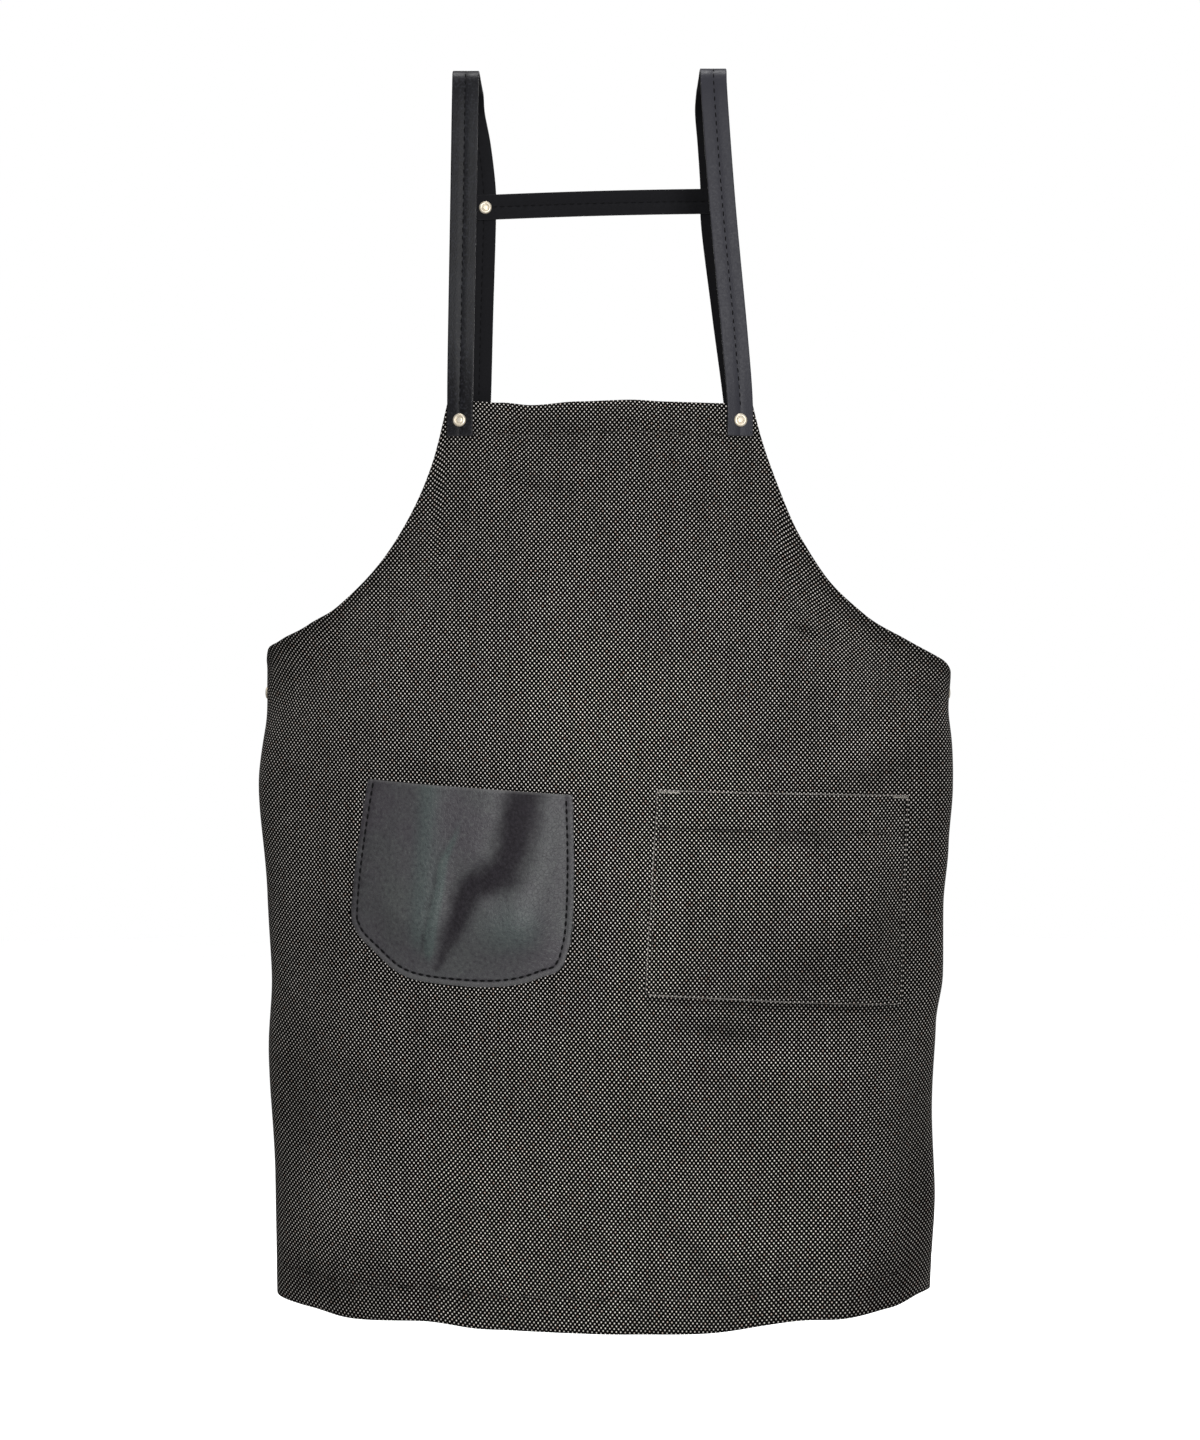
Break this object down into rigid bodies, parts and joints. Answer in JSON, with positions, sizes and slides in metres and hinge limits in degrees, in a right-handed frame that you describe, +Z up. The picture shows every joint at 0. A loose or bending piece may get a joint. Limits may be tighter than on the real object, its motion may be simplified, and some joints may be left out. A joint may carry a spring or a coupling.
{
  "type": "bib apron",
  "caption": "Heavy woven bib apron on a leather H-back harness, with a leather patch pocket, a cloth patch pocket and brass rivets.",
  "frame": {"origin": "midway between the crowns of the two shoulder straps, at the height of their undersides, where the shoulders carry the apron", "axes": "+Z up, -Y the front of the apron, +X to the right of someone who faces it"},
  "size_m": [0.6966, 0.2567, 1.2038],
  "materials": {
    "canvas": "coarse black cloth woven with pale weft, matt",
    "pocket_leather": "waxed black leather, soft sheen in its folds",
    "strap_leather": "black leather with a fine pebble grain, stitched down the middle",
    "brass": "pale champagne brass, bright, a little worn"
  },
  "bodies": {
    "harness": {"left_shoulder_strap": "strap_leather", "right_shoulder_strap": "strap_leather", "cross_strap": "strap_leather", "bib_panel": "canvas", "waist_panel": "canvas", "left_bib_rivet_cap": "brass", "left_bib_rivet_base": "brass", "right_bib_rivet_cap": "brass", "right_bib_rivet_base": "brass", "left_cross_rivet_cap": "brass", "left_cross_rivet_base": "brass", "right_cross_rivet_cap": "brass", "right_cross_rivet_base": "brass", "left_wing_rivet_cap": "brass", "left_wing_rivet_base": "brass", "right_wing_rivet_cap": "brass", "right_wing_rivet_base": "brass"},
    "skirt": {"skirt_panel": "canvas", "leather_pocket": "pocket_leather", "cloth_pocket": "canvas"}
  },
  "joints": [
    {"name": "skirt_swing", "type": "hinge", "parent": "harness", "child": "skirt", "pos_m": [0, -0.029, -0.6365], "axis": [-1, 0, 0], "range_deg": [-8, 20], "deforming": ["waist_panel"]}
  ]
}
